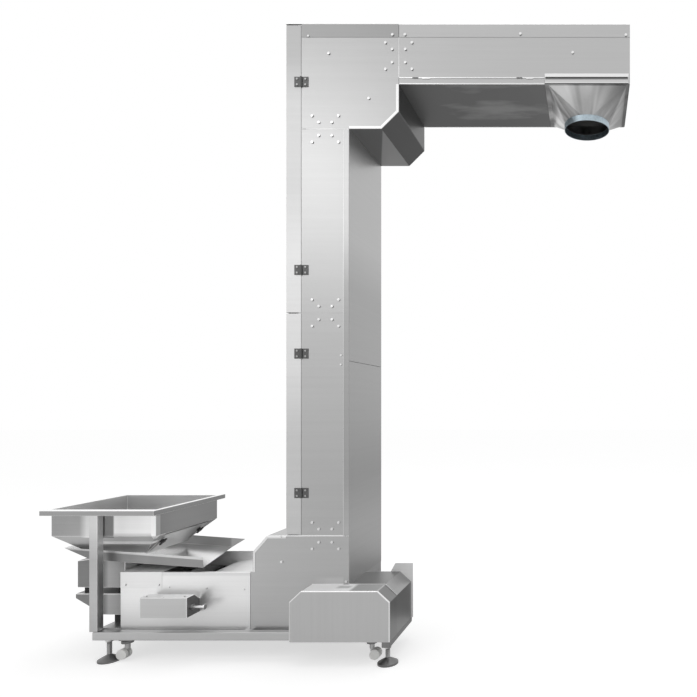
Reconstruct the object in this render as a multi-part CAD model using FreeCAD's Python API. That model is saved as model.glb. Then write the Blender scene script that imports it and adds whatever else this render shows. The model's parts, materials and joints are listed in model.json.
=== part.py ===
# Bucket elevator of folded stainless steel with a vibrating feeder, all sizes in millimetres.
# X runs along the machine, Y into its depth and Z up. The sizes below are given from the
# column's centre line, the middle of the casing's depth and the floor; the finished
# pieces are then moved together so that the origin is under the middle of the whole machine.
import FreeCAD
import Part
import math
import os

from FreeCAD import Vector

# Casing, its lengths stacked up from the floor and along to the head's end
casing_depth = 460.0
panel_sheet = 2.5
cover_sheet = 1.5
joint_gap = 2.0
column_width = 315.0
boot_top = 607.0
lower_column_height = 1113.0
upper_column_height = 920.0
corner_height = 525.0
head_height = 300.0
corner_end = 407.0
head_length = 1155.0
corner_chamfer = 86.0
right_joint_drop = 240.0
boot_left = -335.0
boot_step = 12.0
boot_chamfer_width = 70.0
boot_chamfer_height = 80.0
feed_left = -984.0
feed_top = 425.0
casing_floor = 145.0
top_flange = 65.0
bottom_flange = 31.0
corner_flange = 14.0
right_flange = 27.0
boot_flange = 12.0
feed_flange = 80.0
panel_lip = 16.0
splice_size = 160.0
splice_sheet = 3.0
splice_head_drop = 160.0

# Doors on the left side of the column
door_flange = 75.0
door_sheet = 1.5
door_gap = 5.0
jamb_reach = 14.0
jamb_sheet = 2.0
jamb_clearance = 1.0
hinge_leaf_width = 35.0
hinge_height = 50.0
hinge_leaf_sheet = 2.5
hinge_barrel = 10.0
hinge_pin = 5.0
hinge_play = 0.3
hinge_notch = 1.0
hinge_sides = 12
upper_door_low_hinge = 212.5
upper_door_high_hinge = 283.5
lower_door_low_hinge = 208.0
lower_door_high_hinge = 200.5

# Inlet of the feed housing
inlet_left = -777.0
inlet_pan_left = -665.0
inlet_pan_drop = 65.0
inlet_pan_edge_drop = 5.0
inlet_pan_sheet = 2.0

# Take-up cover with its screw
take_up_left = -817.0
take_up_width = 228.0
take_up_reach = 97.0
take_up_bottom = 229.0
take_up_height = 98.0
take_up_slope_run = 40.0
take_up_slope_drop = 30.0
take_up_sheet = 2.0
take_up_screw_size = 14.0
take_up_screw_reach = 66.0
take_up_screw_out = 60.0
take_up_screw_up = 42.0
take_up_hole_play = 0.5
take_up_lug = 28.0
take_up_lug_sheet = 10.0
take_up_nut = 27.0
take_up_nut_height = 11.0

# Discharge chute and collar
chute_length = 420.0
chute_end_inset = 6.0
chute_drop = 98.0
chute_flange = 20.0
chute_end_flange = 10.0
chute_sheet = 2.0
chute_corner_folds = 6
collar_size = 240.0
collar_height = 30.0
collar_sheet = 2.0

# Drive housing at the foot of the column
drive_right = 397.0
drive_width = 487.0
drive_top = 363.0
drive_bottom = 116.0
drive_chamfer_width = 58.0
drive_chamfer_height = 54.0
drive_reach = 110.0
drive_back = 7.0
drive_sheet = 2.0
back_plate_top = 408.0
back_plate_slant = 24.0
back_plate_step = 288.0
back_plate_overhang = 10.0

# Base frame and what it stands on
tube = 40.0
frame_left = -1078.0
frame_top = 145.0
frame_depth = 580.0
back_rail_end = 200.0
end_rail_top = 116.0
end_rail_height = 28.0
end_rail_back = 25.0
notch_clearance = 1.0
shelf_width = 90.0
shelf_sheet = 5.0
shelf_inset = 5.0
foot_size = 98.0
foot_rim = 9.0
foot_cone = 22.0
stem_size = 20.0
left_foot_x = -1008.0
right_foot_x = 377.0
rear_right_foot_x = 172.0
caster_wheel = 50.0
caster_wheel_sides = 24
caster_wheel_width = 18.0
caster_wheel_gap = 6.0
caster_crown_gap = 2.0
caster_trail = 18.0
caster_lift = 10.0
caster_plate = 60.0
caster_plate_sheet = 3.0
caster_axle = 6.0
caster_head = 24.0
caster_arm = 16.0
caster_play = 0.5
running_gap = 0.3
left_caster_x = -918.0
right_caster_x = 288.0
rear_right_caster_x = 82.0

# Feeder hopper, its posts and its slide gate
hopper_x = -1057.0
hopper_top = 740.0
hopper_lip = 24.0
hopper_length = 520.0
hopper_rim_overhang = 20.0
hopper_shoulder = 607.0
hopper_foot = 505.0
hopper_foot_left = -1195.0
hopper_foot_right = -908.0
hopper_foot_depth = 320.0
hopper_sheet = 2.0
hopper_mouth_cut = 6.0
post_left = -1095.0
post_play = 0.5
post_clearance = 2.5
gate_margin = 19.0
gate_sheet = 2.0
gate_clearance = 0.6
gate_length = 150.0
gate_travel = 80.0
gate_slot_spacing = 292.0
gate_slot_width = 10.0
gate_overlap = 10.0
gate_opening_width = 250.0
gate_opening_length = 85.0
gate_stud = 8.0
gate_stud_up_slope = 92.0
knob_size = 24.0
knob_thickness = 14.0
knob_sides = 16
knob_wing = 46.0
knob_wing_width = 10.0

# Vibrating tray and its drive boxes
tray_left = -1289.0
tray_right = -586.0
tray_inset = 35.0
tray_wall = 52.0
tray_sheet = 2.0
tray_rim_left = 542.0
tray_slope = 4.0
tray_end_slant = 140.0
tray_skew = 114.0
tray_end_rake = 86.0
vibrator_left = -1252.0
vibrator_right = -1008.0
vibrator_inset = 40.0
vibrator_bottom = 329.0
vibrator_top = 466.0
base_box_left = -1262.0
base_box_right = -1000.0
base_box_top = 298.0
base_box_side = 24.0
base_box_bottom = 190.0
base_box_taper = 140.0
mount_size = 30.0
mount_inset = 20.0

# Bucket loop inside the casing
bucket_pitch = 160.0
bucket_length = 118.0
bucket_base = 70.0
bucket_height = 78.0
bucket_width = 380.0
bucket_sheet = 2.0
bucket_rim_rise = 10.0
chain_height = 24.0
chain_thickness = 6.0
chain_turn = 55.0
chain_turn_runs = 4
strand_offset = 78.0
loop_floor_room = 80.0
loop_roof_room = 82.0
loop_tail_room = 125.0
loop_head_room = 135.0
chain_wheel_fit = 0.1
chain_wheel_sides = 16
stub_size = 30.0
stub_sides = 8

# What follows from the sizes above
half_depth = casing_depth / 2
column_left = -column_width / 2
column_right = column_width / 2
seam_x = column_left + door_flange + door_gap
column_joint = boot_top + lower_column_height
corner_bottom = column_joint + upper_column_height
casing_top = corner_bottom + corner_height
right_cover_joint = column_joint - right_joint_drop
panel_top = casing_top - cover_sheet
head_bottom = casing_top - head_height
head_end = corner_end + head_length
chute_right = head_end - chute_end_inset
chute_left = chute_right - chute_length
collar_x = (chute_left + chute_right) / 2
collar_top = head_bottom - chute_drop
collar_bottom = collar_top - collar_height
drive_left = drive_right - drive_width
frame_half_depth = frame_depth / 2
hopper_half_depth = frame_half_depth - hopper_sheet - post_play - tube - post_clearance
tray_half_depth = hopper_half_depth - tray_inset
vibrator_half_depth = tray_half_depth - vibrator_inset
gate_width = gate_slot_spacing + 2 * gate_margin

ALONG = Vector(1, 0, 0)
DEEP = Vector(0, 1, 0)
UP = Vector(0, 0, 1)


def block(x0, x1, y0, y1, z0, z1):
    """A rectangular solid between two corners."""
    return Part.makeBox(x1 - x0, y1 - y0, z1 - z0, Vector(x0, y0, z0))


def prism(outline, y0, y1):
    """An outline of (x, z) points carried through the depth from y0 to y1."""
    points = [Vector(x, y0, z) for x, z in outline]
    face = Part.Face(Part.makePolygon(points + points[:1]))
    return face.extrude(Vector(0, y1 - y0, 0))


def regular_prism(sides, size, length, start, along):
    """A prism of equal sides whose corners lie on a circle of the given size."""
    sideways = ALONG if abs(along.y) > abs(along.z) else DEEP
    upward = along.cross(sideways)
    points = []
    for step in range(sides):
        angle = math.radians(360 * step / sides)
        points.append(start + (sideways * math.cos(angle) + upward * math.sin(angle)) * (size / 2))
    return Part.Face(Part.makePolygon(points + points[:1])).extrude(along * length)


def flat_sided(loops):
    """A closed solid from flat faces, each given as a loop of corner points."""
    faces = [Part.Face(Part.makePolygon(loop + loop[:1])) for loop in loops]
    shell = Part.makeShell(faces)
    shell.sewShape()
    solid = Part.makeSolid(shell)
    if solid.Volume < 0:
        solid.reverse()
    return solid


def join(pieces):
    """One solid from pieces that touch or overlap."""
    whole = pieces[0].fuse(pieces[1:]) if len(pieces) > 1 else pieces[0]
    return whole.removeSplitter()


def group(pieces):
    """Solids that share one node and don't touch."""
    return Part.makeCompound(pieces)


def mirrored(shape):
    """The same piece on the back of the machine."""
    return shape.mirror(Vector(0, 0, 0), DEEP)


def shifted_line(points, distance):
    """A line of (x, z) points moved to its left side by distance, its corners kept sharp."""
    shifted = []
    for index, (x, z) in enumerate(points):
        normals = []
        for first, second in ((index - 1, index), (index, index + 1)):
            if first < 0 or second >= len(points):
                continue
            run = Vector(points[second][0] - points[first][0], 0, points[second][1] - points[first][1])
            run.normalize()
            normals.append(Vector(-run.z, 0, run.x))
        bisector = sum(normals, Vector(0, 0, 0))
        bisector.normalize()
        reach = distance / bisector.dot(normals[0])
        shifted.append((x + bisector.x * reach, z + bisector.z * reach))
    return shifted


def bent_strip(points, inner, outer, y0, y1):
    """Sheet that follows a line of (x, z) points, between two distances to its left side."""
    near = shifted_line(points, inner)
    far = shifted_line(points, outer)
    return prism(near + far[::-1], y0, y1)


def folded_cover(points, flange, sheet=cover_sheet):
    """A cover bent along an outline, with flanges that lap over the front and back panels."""
    lap = half_depth + sheet
    web = bent_strip(points, 0, sheet, -lap, lap)
    front = bent_strip(points, -flange, sheet, -lap, -half_depth)
    return join([web, front, mirrored(front)])


def side_panel(outline):
    """A front panel from its outline of (x, z) points."""
    return prism(outline, -half_depth, -half_depth + panel_sheet)


def panel_outlines():
    """The front panels' outlines by name; the back panels repeat them."""
    edge = joint_gap / 2
    boot_shoulder = boot_left + boot_step
    boot_high = boot_top - cover_sheet
    return {
        "head": [
            (corner_end + edge, head_bottom),
            (head_end, head_bottom),
            (head_end, panel_top),
            (corner_end + edge, panel_top),
        ],
        "corner": [
            (seam_x, corner_bottom + edge),
            (corner_end - corner_chamfer, corner_bottom + edge),
            (corner_end - edge, corner_bottom + corner_chamfer),
            (corner_end - edge, panel_top),
            (seam_x, panel_top),
        ],
        "column_upper": [
            (seam_x, column_joint + edge),
            (column_right, column_joint + edge),
            (column_right, corner_bottom - edge),
            (seam_x, corner_bottom - edge),
        ],
        "column_lower": [
            (seam_x, boot_top + edge),
            (column_right, boot_top + edge),
            (column_right, column_joint - edge),
            (seam_x, column_joint - edge),
        ],
        "boot": [
            (boot_left + edge, casing_floor),
            (column_right, casing_floor),
            (column_right, boot_top - edge),
            (column_left, boot_top - edge),
            (column_left, boot_high),
            (boot_shoulder + boot_chamfer_width, boot_high),
            (boot_shoulder, boot_high - boot_chamfer_height),
            (boot_shoulder, feed_top),
            (boot_left + edge, feed_top),
        ],
        "feed": [
            (feed_left, casing_floor),
            (boot_left - edge, casing_floor),
            (boot_left - edge, feed_top - cover_sheet),
            (feed_left, feed_top - cover_sheet),
        ],
    }


def casing_panels():
    """Front and back panels of every length of the casing."""
    nodes = {}
    backs = []
    for name, outline in panel_outlines().items():
        panel = side_panel(outline)
        if name == "feed":
            lip = block(
                inlet_left, boot_left - joint_gap / 2,
                -half_depth, -half_depth + panel_lip,
                feed_top - cover_sheet - panel_sheet, feed_top - cover_sheet,
            )
            panel = join([panel, lip])
        nodes[name + "_front_panel"] = panel
        backs.append(mirrored(panel))
    nodes["back_panels"] = group(backs)
    return nodes


def splice_plates():
    """Plates behind the bolted joints of the panels."""
    inner = -half_depth + panel_sheet
    half = splice_size / 2
    column_middle = (seam_x + column_right) / 2
    centres = [
        (corner_end, casing_top - splice_head_drop),
        (column_middle, corner_bottom),
        (column_middle, column_joint),
        (column_middle, boot_top),
    ]
    plates = [
        block(x - half, x + half, inner, inner + splice_sheet, z - half, z + half) for x, z in centres
    ]
    return group(plates)


def casing_covers():
    """Folded covers along the top, bottom and right edges of the casing."""
    edge = joint_gap / 2
    corner_top = folded_cover([(column_left, panel_top), (corner_end - edge, panel_top)], top_flange)
    over_door = block(column_left, seam_x, -casing_depth, casing_depth, head_bottom, panel_top)
    head_top = folded_cover([(corner_end + edge, panel_top), (head_end, panel_top)], top_flange)
    head_under_line = [(chute_left - edge, head_bottom), (corner_end + edge, head_bottom)]
    corner_line = [
        (corner_end, head_bottom - cover_sheet),
        (corner_end, corner_bottom + corner_chamfer),
        (corner_end - corner_chamfer, corner_bottom),
        (column_right + cover_sheet, corner_bottom),
    ]
    right_lines = [
        [(column_right, corner_bottom - edge), (column_right, right_cover_joint + edge)],
        [(column_right, right_cover_joint - edge), (column_right, drive_top)],
    ]
    shoulder = boot_left + boot_step
    boot_high = boot_top - cover_sheet
    boot_line = [
        (shoulder, feed_top),
        (shoulder, boot_high - boot_chamfer_height),
        (shoulder + boot_chamfer_width, boot_high),
        (column_left, boot_high),
    ]
    return {
        "corner_top_cover": corner_top.cut(over_door),
        "head_top_cover": head_top,
        "head_bottom_cover": folded_cover(head_under_line, bottom_flange),
        "corner_inner_cover": folded_cover(corner_line, corner_flange),
        "column_right_covers": group([folded_cover(line, right_flange) for line in right_lines]),
        "boot_top_cover": folded_cover(boot_line, boot_flange),
    }


def casing_plates():
    """Plain plates that close the ends and the bottom between the panels."""
    inner = half_depth - panel_sheet
    head_plate = block(head_end - panel_sheet, head_end, -inner, inner, head_bottom, panel_top)
    feed_plate = block(
        feed_left, feed_left + panel_sheet, -inner, inner, casing_floor + panel_sheet, feed_top - cover_sheet
    )
    boot_plate = block(
        column_right - panel_sheet, column_right, -inner, inner, casing_floor + panel_sheet, drive_top
    )
    edge = joint_gap / 2
    floor_high = casing_floor + panel_sheet
    feed_floor = block(feed_left, boot_left - edge, -inner, inner, casing_floor, floor_high)
    boot_floor = block(boot_left + edge, column_right, -inner, inner, casing_floor, floor_high)
    return {
        "end_plates": group([head_plate, feed_plate, boot_plate]),
        "floor_plates": group([feed_floor, boot_floor]),
    }


def feed_inlet():
    """The cover left of the inlet and the sloping pan right of it."""
    cover_line = [(feed_left, feed_top - cover_sheet), (inlet_left, feed_top - cover_sheet)]
    inner = half_depth - panel_sheet
    pan_line = [(inlet_pan_left, feed_top - inlet_pan_drop), (boot_left, feed_top - inlet_pan_edge_drop)]
    return {
        "feed_top_cover": folded_cover(cover_line, feed_flange),
        "inlet_pan": bent_strip(pan_line, -inlet_pan_sheet, 0, -inner, inner),
    }


def door(low, high):
    """A door of channel section that closes the column's left side."""
    depth = half_depth
    tip = column_left + door_flange
    web = block(column_left, column_left + door_sheet, -depth, depth, low, high)
    front = block(column_left, tip, -depth, -depth + door_sheet, low, high)
    return join([web, front, mirrored(front)])


def door_jambs():
    """Strips behind the doors' edges, front and back, carried by the panels."""
    front_face = -half_depth + door_sheet + jamb_clearance
    strip = block(
        seam_x - door_gap - jamb_reach, seam_x + 2 * jamb_reach,
        front_face, front_face + jamb_sheet,
        boot_top, panel_top,
    )
    return group([strip, mirrored(strip)])


def hinge_axis():
    """The line that both doors turn about, as (x, y)."""
    return seam_x - door_gap / 2, -half_depth - hinge_barrel / 2


def hinge(z):
    """One hinge at height z: its fixed leaf with the pin, and its moving leaf."""
    axis_x, axis_y = hinge_axis()
    third = hinge_height / 3
    low = z - hinge_height / 2
    lowest, middle, highest = low, low + third, low + 2 * third
    outside = -half_depth - hinge_leaf_sheet
    notch = hinge_barrel / 2 + hinge_notch

    def leaf(x0, x1, z0, z1):
        return block(x0, x1, outside, -half_depth, z0, z1)

    def knuckle(start, length):
        return regular_prism(hinge_sides, hinge_barrel, length, Vector(axis_x, axis_y, start), UP)

    def rod(size):
        return Part.makeCylinder(size / 2, hinge_height, Vector(axis_x, axis_y, low))

    fixed_leaf = leaf(seam_x, axis_x + hinge_leaf_width, low, low + hinge_height)
    fixed_notch = leaf(seam_x, axis_x + notch, middle, highest)
    fixed = [fixed_leaf.cut(fixed_notch), rod(hinge_pin)]
    moving_leaf = leaf(axis_x - hinge_leaf_width, seam_x - door_gap, low, low + hinge_height)
    moving_notches = []
    for start in (lowest, highest):
        fixed += [knuckle(start, third), leaf(axis_x, seam_x, start, start + third)]
        moving_notches.append(leaf(axis_x - notch, seam_x - door_gap, start, start + third))
    moving = [
        moving_leaf.cut(moving_notches),
        knuckle(middle + hinge_play, third - 2 * hinge_play),
        leaf(seam_x - door_gap, axis_x, middle + hinge_play, highest - hinge_play),
    ]
    return join(fixed), join(moving).cut(rod(hinge_pin + 2 * hinge_play))


def doors_and_hinges():
    """Both doors, their jambs and the four hinges on the front seam."""
    upper_low = column_joint + door_gap / 2
    upper_high = panel_top - door_gap
    lower_low = boot_top + door_gap
    lower_high = column_joint - door_gap / 2
    upper_hinges = [hinge(upper_low + upper_door_low_hinge), hinge(upper_high - upper_door_high_hinge)]
    lower_hinges = [hinge(lower_low + lower_door_low_hinge), hinge(lower_high - lower_door_high_hinge)]
    return {
        "door_upper": door(upper_low, upper_high),
        "door_lower": door(lower_low, lower_high),
        "door_jambs": door_jambs(),
        "hinge_fixed_leaves": group([fixed for fixed, moving in upper_hinges + lower_hinges]),
        "door_upper_hinge_leaves": group([moving for fixed, moving in upper_hinges]),
        "door_lower_hinge_leaves": group([moving for fixed, moving in lower_hinges]),
    }


def take_up():
    """Cover over the chain's take-up, with the screw that comes through its end."""
    left = take_up_left
    right = left + take_up_width
    low = take_up_bottom
    high = low + take_up_height
    front = -half_depth - take_up_reach
    back = -half_depth
    profile = [
        Vector(left, front, low),
        Vector(left, front, high),
        Vector(left, back - take_up_slope_run, high),
        Vector(left, back, high - take_up_slope_drop),
        Vector(left, back, low),
    ]
    body = Part.Face(Part.makePolygon(profile + profile[:1])).extrude(Vector(take_up_width, 0, 0))
    hollow = block(
        left + take_up_sheet, right - take_up_sheet,
        front + take_up_sheet, back,
        low - 1, high - take_up_slope_drop - take_up_sheet,
    )
    upper = block(
        left + take_up_sheet, right - take_up_sheet,
        front + take_up_sheet, back - take_up_slope_run,
        low, high - take_up_sheet,
    )
    screw_y = back - take_up_screw_out
    screw_z = low + take_up_screw_up
    hole = Part.makeCylinder(
        take_up_screw_size / 2 + take_up_hole_play, 3 * take_up_sheet,
        Vector(right - 2 * take_up_sheet, screw_y, screw_z), ALONG,
    )
    cover = body.cut([hollow, upper, hole])
    rod = Part.makeCylinder(
        take_up_screw_size / 2, take_up_screw_reach + take_up_width / 2,
        Vector(right - take_up_width / 2, screw_y, screw_z), ALONG,
    )
    nut = regular_prism(6, take_up_nut, take_up_nut_height, Vector(right, screw_y, screw_z), ALONG)
    cap_thickness = take_up_nut_height / 2
    cap_start = Vector(right + take_up_screw_reach - cap_thickness, screw_y, screw_z)
    cap = regular_prism(6, take_up_nut, cap_thickness, cap_start, ALONG)
    lug_start = right - take_up_width / 2
    lug = block(
        lug_start, lug_start + take_up_lug_sheet,
        screw_y - take_up_lug / 2, back,
        screw_z - take_up_lug / 2, screw_z + take_up_lug / 2,
    )
    return {"take_up_cover": cover, "take_up_screw": join([rod, nut, cap, lug])}


def square_to_round(inset, z_top, z_low):
    """A solid folded from the chute's rectangle above to the collar's circle below."""
    x0 = chute_left + chute_flange + inset
    x1 = chute_right - chute_end_flange - inset
    half = half_depth - chute_end_flange - inset
    radius = collar_size / 2 - inset
    corners = [Vector(x, y, z_top) for x, y in ((x1, half), (x0, half), (x0, -half), (x1, -half))]
    circle = []
    for step in range(4 * chute_corner_folds):
        angle = math.radians(90 * step / chute_corner_folds)
        circle.append(Vector(collar_x + radius * math.cos(angle), radius * math.sin(angle), z_low))
    loops = [corners, circle]
    for side, corner in enumerate(corners):
        first = side * chute_corner_folds
        last = (first + chute_corner_folds) % len(circle)
        for step in range(first, first + chute_corner_folds):
            loops.append([corner, circle[step], circle[(step + 1) % len(circle)]])
        loops.append([corner, circle[last], corners[(side + 1) % 4]])
    return flat_sided(loops)


def discharge():
    """Square-to-round chute under the head's end and the round collar on it."""
    plate_low = head_bottom - chute_sheet
    outer = square_to_round(0, plate_low, collar_top)
    inner = square_to_round(chute_sheet, plate_low, collar_top)
    flange = block(chute_left, chute_right + cover_sheet, -half_depth, half_depth, plate_low, head_bottom)
    mouth = block(
        chute_left + chute_flange + chute_sheet, chute_right - chute_end_flange - chute_sheet,
        -half_depth + chute_end_flange + chute_sheet, half_depth - chute_end_flange - chute_sheet,
        plate_low, head_bottom,
    )
    foot = Vector(collar_x, 0, collar_bottom)
    collar = Part.makeCylinder(collar_size / 2, collar_height, foot)
    bore = Part.makeCylinder(collar_size / 2 - collar_sheet, collar_height, foot)
    return {
        "discharge_chute": join([outer.cut(inner), flange.cut(mouth)]),
        "discharge_collar": collar.cut(bore),
    }


def drive():
    """Chamfered drive housing: the guard in front of the boot, the box beside it and its back plate."""
    outline = [
        (drive_left, drive_bottom),
        (drive_left, drive_top - drive_chamfer_height),
        (drive_left + drive_chamfer_width, drive_top),
        (drive_right - drive_chamfer_width, drive_top),
        (drive_right, drive_top - drive_chamfer_height),
        (drive_right, drive_bottom),
    ]
    front = -half_depth - drive_reach
    seam = -half_depth
    ring = bent_strip(outline, -drive_sheet, 0, front, seam)
    cap = prism(outline, front, front + drive_sheet)
    beside = column_right + cover_sheet
    box_line = [(beside, drive_top)] + outline[3:]
    box = bent_strip(box_line, -drive_sheet, 0, seam, drive_back)
    plate = prism(
        [
            (beside, drive_bottom),
            (beside, drive_top),
            (back_plate_step, drive_top),
            (back_plate_step + back_plate_slant, back_plate_top),
            (drive_right + back_plate_overhang, back_plate_top),
            (drive_right + back_plate_overhang, drive_bottom),
        ],
        drive_back, drive_back + drive_sheet,
    )
    rails = frame_rails()
    notches = [grown(rails["front"]), grown(rails["right_cross"])]
    return {
        "drive_front_guard": join([ring, cap]).cut(notches),
        "drive_housing": box,
        "drive_back_plate": plate.cut(notches),
    }


def grown(rail):
    """Room for a rail, with the notch's clearance all round."""
    box = rail.BoundBox
    room = notch_clearance
    return block(
        box.XMin - room, box.XMax + room, box.YMin - room, box.YMax + room, box.ZMin - room, box.ZMax + room
    )


def frame_rails():
    """The rails of the welded frame, by place."""
    low = frame_top - tube
    outer = frame_half_depth
    inner = outer - tube
    end_left = drive_right - tube
    rails = {
        "front": block(frame_left, end_left, -outer, -inner, low, frame_top),
        "back": block(frame_left, back_rail_end, inner, outer, low, frame_top),
        "end": block(
            end_left, drive_right, -half_depth - drive_reach + drive_sheet, end_rail_back,
            end_rail_top - end_rail_height, end_rail_top,
        ),
    }
    cross_places = {
        "left_cross": frame_left,
        "middle_cross": boot_left - tube / 2,
        "right_cross": back_rail_end - tube,
    }
    for name, left in cross_places.items():
        rails[name] = block(left, left + tube, -inner, inner, low, frame_top)
    return rails


def base_frame():
    """Welded frame of square tube that carries the casing and the feeder."""
    rails = frame_rails()
    half = frame_half_depth - tube - shelf_inset
    shelf = block(frame_left, frame_left + shelf_width, -half, half, frame_top, frame_top + shelf_sheet)
    return {
        "frame_front_rail": rails["front"],
        "frame_back_rail": rails["back"],
        "frame_cross_rails": group([rails["left_cross"], rails["middle_cross"], rails["right_cross"]]),
        "frame_end_rail": rails["end"],
        "feeder_shelf": shelf,
    }


def levelling_foot(x, y, carried_at):
    """A disc foot on a threaded stem that ends at the height of what it carries."""
    profile = [
        Vector(0, 0, 0),
        Vector(foot_size / 2, 0, 0),
        Vector(foot_size / 2, 0, foot_rim),
        Vector(stem_size / 2, 0, foot_rim + foot_cone),
        Vector(stem_size / 2, 0, carried_at),
        Vector(0, 0, carried_at),
    ]
    foot = Part.Face(Part.makePolygon(profile + profile[:1])).revolve(Vector(0, 0, 0), UP, 360)
    foot.translate(Vector(x, y, 0))
    return foot


def feet():
    """Four levelling feet under the frame."""
    rail_middle = frame_half_depth - tube / 2
    rail_low = frame_top - tube
    end_low = end_rail_top - end_rail_height
    return group([
        levelling_foot(left_foot_x, -rail_middle, rail_low),
        levelling_foot(left_foot_x, rail_middle, rail_low),
        levelling_foot(rear_right_foot_x, rail_middle, rail_low),
        levelling_foot(right_foot_x, -half_depth - drive_reach / 2 - tube / 2, end_low),
    ])


def caster(x, y, carried_at, heading):
    """A small twin-wheel caster: its plate, its swivelling fork and its wheels on an axle."""
    wheel_radius = caster_wheel / 2
    axle_x = x + heading * caster_trail
    axle_z = caster_lift + wheel_radius
    axle_start = Vector(axle_x, y - caster_wheel_gap / 2, axle_z)
    plate_low = carried_at - caster_plate_sheet
    plate_half = caster_plate / 2
    plate = block(x - plate_half, x + plate_half, y - tube / 2, y + tube / 2, plate_low, carried_at)
    crown_low = axle_z + wheel_radius + caster_crown_gap
    crown_height = plate_low - running_gap - crown_low
    crown = Part.makeCylinder(caster_head / 2, crown_height, Vector(x, y, crown_low))
    thin = caster_wheel_gap / 2 - caster_play
    reach = caster_arm / 2
    arm = block(x - reach, x + reach, y - thin, y + thin, axle_z - reach, crown_low)
    arm_left, arm_right = sorted((x - heading * reach, axle_x + heading * reach))
    arm_low = block(arm_left, arm_right, y - thin, y + thin, axle_z - reach, axle_z + reach)
    bore = Part.makeCylinder(caster_axle / 2 + running_gap, caster_wheel_gap, axle_start, DEEP)
    axle = Part.makeCylinder(caster_axle / 2, caster_wheel_gap, axle_start, DEEP)
    wheels = []
    for side in (-1, 1):
        start = Vector(axle_x, y + side * caster_wheel_gap / 2, axle_z)
        wheels.append(
            regular_prism(caster_wheel_sides, caster_wheel, caster_wheel_width, start, DEEP * side)
        )
    return plate, join([crown, arm, arm_low]).cut(bore), join(wheels + [axle])


def casters():
    """Front and rear casters beside the levelling feet."""
    rail_middle = frame_half_depth - tube / 2
    places = {
        "front_left": (left_caster_x, -rail_middle, -1),
        "front_right": (right_caster_x, -rail_middle, 1),
        "rear_left": (left_caster_x, rail_middle, -1),
        "rear_right": (rear_right_caster_x, rail_middle, 1),
    }
    nodes = {}
    plates = []
    for name, (x, y, heading) in places.items():
        plate, fork, wheels = caster(x, y, frame_top - tube, heading)
        plates.append(plate)
        nodes["caster_fork_" + name] = fork
        nodes["caster_wheels_" + name] = wheels
    nodes["caster_plates"] = group(plates)
    return nodes


def frustum(top, bottom):
    """A solid between two level rectangles, each as x0, x1, half depth and z."""
    top_x0, top_x1, top_half, top_z = top
    low_x0, low_x1, low_half, low_z = bottom
    deepest = max(top_half, low_half)
    along = prism([(low_x0, low_z), (low_x1, low_z), (top_x1, top_z), (top_x0, top_z)], -deepest, deepest)
    left = min(top_x0, low_x0)
    outline = [(-low_half, low_z), (low_half, low_z), (top_half, top_z), (-top_half, top_z)]
    points = [Vector(left, y, z) for y, z in outline]
    across = Part.Face(Part.makePolygon(points + points[:1])).extrude(
        Vector(max(top_x1, low_x1) - left, 0, 0)
    )
    return along.common(across)


def slope_frame():
    """The gate's slope: its foot, its direction upwards and its outward normal."""
    high_x = hopper_x + hopper_length / 2
    run = Vector(high_x - hopper_foot_right, 0, hopper_shoulder - hopper_foot)
    run.normalize()
    outward = Vector(run.z, 0, -run.x)
    return Vector(hopper_foot_right, 0, hopper_foot), run, outward


def slope_point(up, y, out):
    """A point on the gate's slope, or out of it."""
    foot, run, outward = slope_frame()
    return foot + run * up + outward * out + Vector(0, y, 0)


def on_slope(up0, up1, y0, y1, out0, out1):
    """A rectangular solid laid on the gate's slope."""
    corners = [(up0, out0), (up1, out0), (up1, out1), (up0, out1)]
    points = [slope_point(up, y0, out) for up, out in corners]
    return Part.Face(Part.makePolygon(points + points[:1])).extrude(Vector(0, y1 - y0, 0))


def hopper():
    """Square feeder hopper with a turned-down rim, and the opening behind its gate."""
    half_length = hopper_length / 2
    half = hopper_half_depth
    left = hopper_x - half_length
    right = hopper_x + half_length
    wall = hopper_sheet
    slope_wall = wall / slope_frame()[1].z
    box = block(left, right, -half, half, hopper_shoulder, hopper_top)
    lower = frustum(
        (left, right, half, hopper_shoulder),
        (hopper_foot_left, hopper_foot_right, hopper_foot_depth / 2, hopper_foot),
    )
    hollow_box = block(left + wall, right - wall, -half + wall, half - wall, hopper_shoulder, hopper_top)
    hollow_lower = frustum(
        (left + wall, right - wall, half - wall, hopper_shoulder),
        (hopper_foot_left + wall, hopper_foot_right - slope_wall, hopper_foot_depth / 2 - wall, hopper_foot),
    )
    body = join([box, lower]).cut(join([hollow_box, hollow_lower]))
    mouth_half = gate_opening_width / 2
    mouth_up = gate_opening_length
    mouth = on_slope(-mouth_up, mouth_up, -mouth_half, mouth_half, -hopper_mouth_cut, wall)
    lip_low = hopper_top - hopper_lip
    rim_half = frame_half_depth
    rim_left = left - hopper_rim_overhang
    rim_right = right + hopper_rim_overhang
    rim = block(rim_left, rim_right, -rim_half, rim_half, lip_low, hopper_top)
    under = block(
        rim_left + wall, rim_right - wall, -rim_half + wall, rim_half - wall, lip_low, hopper_top - wall
    )
    through = block(left, right, -half, half, lip_low, hopper_top)
    return {"hopper_body": body.cut(mouth), "hopper_rim": rim.cut([under, through])}


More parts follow.
